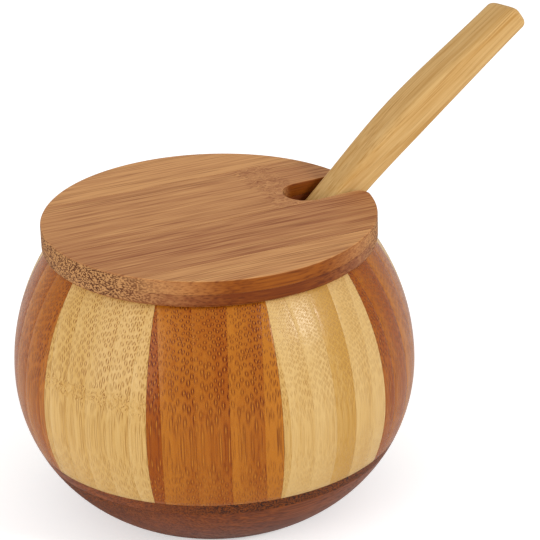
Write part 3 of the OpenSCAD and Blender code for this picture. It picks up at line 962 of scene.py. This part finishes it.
class SALTPOT_OT_base(Operator):
    """Build the base's three plies"""

    bl_idname = "saltpot.base"
    bl_label = "Base"

    def execute(self, context):
        bowl, colours = context.scene.salt_bowl, context.scene.salt_colours
        plies = {  # low and high, the turn of the grain in degrees, and the tone
            "base_upper_ply": (bowl.base_h - bowl.ply_t, bowl.base_h, 90, 0.35),
            "base_core": (bowl.ply_t, bowl.base_h - bowl.ply_t, 0, 0.55),
            "base_lower_ply": (0, bowl.ply_t, 90, 0.7),
        }
        for node, (low, high, turn, tone) in plies.items():
            material = flat_bamboo(
                node.replace("_", " "), "base", colours, radians(turn), (1, 1, 1), (40, 5 + turn, 0), 0.03,
                Tone=tone, Density=0.8, Spacing=1.0, Bundle_Depth=0.6, Core_Depth=0.2,
                Fibre_Depth=1.8, Streak_Depth=1.5, Dark_Lines=0.3, Gloss_Loss=0.26,
            )
            skin = base_skin(bowl, low, high - bowl.glue)
            add_piece(f"{node}_turned", [skin], material, "bowl", node)
        return {"FINISHED"}


class SALTPOT_OT_lid(Operator):
    """Build the lid's four strips, its lower ply and its plug"""

    bl_idname = "saltpot.lid"
    bl_label = "Lid"

    def execute(self, context):
        lid, bowl = context.scene.salt_lid, context.scene.salt_bowl
        colours = context.scene.salt_colours
        gap, groove, half = bowl.glue / 2, bowl.groove, lid.notch_w / 2
        outline, shares = notched_disc(lid.radius, half, lid.notch_in, lid.notch_round, notch_share=0.5)
        across = np.array([-sin(lid.grain_turn), cos(lid.grain_turn)])
        strips = {  # the joint on each side, and the tone
            "lid_strip_front": (None, lid.front_joint, 0.35),
            "lid_strip_mid_front": (lid.front_joint, lid.middle_joint, 0.65),
            "lid_strip_mid_back": (lid.middle_joint, lid.back_joint, 0.5),
            "lid_strip_back": (lid.back_joint, None, 0.2),
        }
        levels = [(lid.joint_h, groove), (lid.joint_h + groove, 0), *round_over(lid.top, lid.upper_round)]
        for k, (node, (low, high, tone)) in enumerate(strips.items()):
            part = outline, shares
            if low is not None:
                part = keep_side(*part, part[0] @ across - low - gap)
            if high is not None:
                part = keep_side(*part, high - gap - part[0] @ across)
            material = flat_bamboo(
                node.replace("_", " "), "lid", colours, lid.grain_turn, (1, 0.7, 0.9),
                (9 * k, 31 * k, 170 * k), 0.04, KNUCKLE_X if k == 2 else None,
                Tone=tone, Density=0.3, Spacing=1.1, Bundle_Depth=0.3, Core_Depth=0.2,
                Fibre_Depth=1.8, Streak_Depth=0.7, Dark_Lines=0.2, Gloss_Loss=0.5,
            )
            add_piece(f"{node}_planed", [stack(*part, levels)], material, "lid", node)

        lower = flat_bamboo(
            "lid lower ply", "lid", colours, lid.grain_turn, (1, 0.7, 0.9), (60, 0, 700), 0.04,
            Tone=0.9, Density=0.5, Spacing=1.1, Bundle_Depth=0.5, Core_Depth=0.2,
            Fibre_Depth=1.2, Streak_Depth=1.4, Dark_Lines=0.4, Gloss_Loss=0.42,
        )
        outline, shares = notched_disc(lid.radius, half, lid.notch_in, lid.notch_round, notch_share=0.3)
        top = lid.joint_h - bowl.glue
        levels = [*round_over(bowl.rim_h, -lid.lower_round)[::-1], (top - groove, 0), (top, groove)]
        skin = stack(outline, shares, levels)
        add_piece("lid_lower_ply_turned", [skin], lower, "lid", "lid_lower_ply")

        plug_r = bowl.rim_r - bowl.rim_flat - bowl.rim_bevel - lid.plug_gap
        notch_in = lid.notch_in - lid.plug_notch_more
        plug_half, corner_r = half + lid.plug_notch_side, 0.3 * MM
        outline, shares = notched_disc(plug_r, plug_half, notch_in, corner_r, notch_share=0.3)
        levels = [
            (lid.plug_low, lid.plug_bevel + FACE_RING), (lid.plug_low, lid.plug_bevel),
            (lid.plug_low + lid.plug_bevel, 0), (bowl.rim_h - bowl.glue, 0),
        ]
        skin = stack(outline, shares, levels)
        add_piece("lid_plug_turned", [skin], lower, "lid", "lid_plug")
        return {"FINISHED"}


class SALTPOT_OT_spoon(Operator):
    """Build the spoon"""

    bl_idname = "saltpot.spoon"
    bl_label = "Spoon"

    def execute(self, context):
        spoon, bowl = context.scene.salt_spoon, context.scene.salt_bowl
        material = spoon_bamboo(context.scene.salt_colours, spoon.handle_lean)
        add_piece(
            "spoon_carved", [spoon_skin(spoon, bowl)], material, "spoon", "spoon", sharp=40
        )
        return {"FINISHED"}


def softbox(name, place, aim, side, watts):
    """A square lamp that faces a point."""
    lamp = bpy.data.lights.new(name, "AREA")
    lamp.size, lamp.energy = side, watts
    lamp_object = bpy.data.objects.new(name, lamp)
    bpy.context.collection.objects.link(lamp_object)
    lamp_object.location = place
    lamp_object.rotation_euler = (Vector(aim) - Vector(place)).to_track_quat("-Z", "Y").to_euler()


class SALTPOT_OT_studio(Operator):
    """Set up the white floor, the lamps and the camera"""

    bl_idname = "saltpot.studio"
    bl_label = "Studio"

    def execute(self, context):
        studio, scene = context.scene.salt_studio, context.scene
        half = studio.floor_half
        mesh = bpy.data.meshes.new("floor")
        corners = [(-half, -half, 0), (half, -half, 0), (half, half, 0), (-half, half, 0)]
        mesh.from_pydata(corners, [], [(0, 1, 2, 3)])
        floor = bpy.data.objects.new("floor", mesh)
        scene.collection.objects.link(floor)

        white = bpy.data.materials.new("white floor")
        white.use_nodes = True
        w, shader = Wiring(white.node_tree), white.node_tree.nodes["Principled BSDF"]
        shader.inputs["Base Color"].default_value = (*[studio.floor_grey] * 3, 1)
        shader.inputs["Roughness"].default_value = 0.9
        shader.inputs["Emission Color"].default_value = (1, 1, 1, 1)
        seen = w.add("LightPath")["Is Camera Ray"]
        w.put(shader.inputs["Emission Strength"], w.math("MULTIPLY", seen, studio.floor_glow))
        mesh.materials.append(white)

        scene.world = scene.world or bpy.data.worlds.new("white room")
        scene.world.use_nodes = True
        w, sky = Wiring(scene.world.node_tree), scene.world.node_tree.nodes["Background"]
        sky.inputs["Color"].default_value = (1, 1, 1, 1)
        seen = w.add("LightPath")["Is Camera Ray"]
        strength = w.math("MULTIPLY_ADD", seen, 1 - studio.room_light, studio.room_light)
        w.put(sky.inputs["Strength"], strength)

        softbox("key", studio.key_place, studio.lamp_aim, studio.key_side, studio.key_power)
        softbox("fill", studio.fill_place, studio.lamp_aim, studio.fill_side, studio.fill_power)

        data = bpy.data.cameras.new("camera")
        data.lens, data.sensor_width, data.clip_start = studio.lens, 36, 0.01
        camera = bpy.data.objects.new("camera", data)
        scene.collection.objects.link(camera)
        turn, lift, roll = studio.camera_turn, studio.camera_lift, studio.camera_roll
        back = Vector((sin(turn) * cos(lift), -cos(turn) * cos(lift), sin(lift)))
        aim = Vector(studio.aim)
        facing = back.to_track_quat("Z", "Y").to_matrix().to_4x4()
        camera.matrix_world = (
            Matrix.Translation(aim + back * studio.camera_away) @ facing @ Matrix.Rotation(roll, 4, "Z")
        )
        scene.camera = camera
        scene.view_settings.view_transform = "Standard"
        return {"FINISHED"}


class SALTPOT_PT_panel(Panel):
    """Sizes, colours and the buttons that build the pot"""

    bl_idname = "SALTPOT_PT_panel"
    bl_label = "Salt Pot"
    bl_space_type = "VIEW_3D"
    bl_region_type = "UI"
    bl_category = "Salt Pot"

    def draw(self, context):
        for operator in OPERATORS:
            self.layout.operator(operator.bl_idname)
        for name, (kind, label) in SETTINGS.items():
            box = self.layout.box()
            box.label(text=label)
            for key in kind.__annotations__:
                box.prop(getattr(context.scene, name), key)


SETTINGS = {
    "salt_bowl": (BowlSizes, "Bowl"),
    "salt_lid": (LidSizes, "Lid"),
    "salt_spoon": (SpoonSizes, "Spoon"),
    "salt_colours": (BambooColours, "Colours"),
    "salt_studio": (StudioSettings, "Studio"),
}
OPERATORS = (
    SALTPOT_OT_staves, SALTPOT_OT_base, SALTPOT_OT_lid, SALTPOT_OT_spoon, SALTPOT_OT_studio
)


def register():
    for name, (kind, label) in SETTINGS.items():
        bpy.utils.register_class(kind)
        setattr(bpy.types.Scene, name, PointerProperty(type=kind, name=label))
    for kind in (*OPERATORS, SALTPOT_PT_panel):
        bpy.utils.register_class(kind)


def unregister():
    for kind in (SALTPOT_PT_panel, *OPERATORS):
        bpy.utils.unregister_class(kind)
    for name, (kind, _) in SETTINGS.items():
        delattr(bpy.types.Scene, name)
        bpy.utils.unregister_class(kind)


def main():
    register()
    bpy.ops.saltpot.staves()
    bpy.ops.saltpot.base()
    bpy.ops.saltpot.lid()
    bpy.ops.saltpot.spoon()
    bpy.ops.saltpot.studio()


if __name__ == "__main__":
    main()
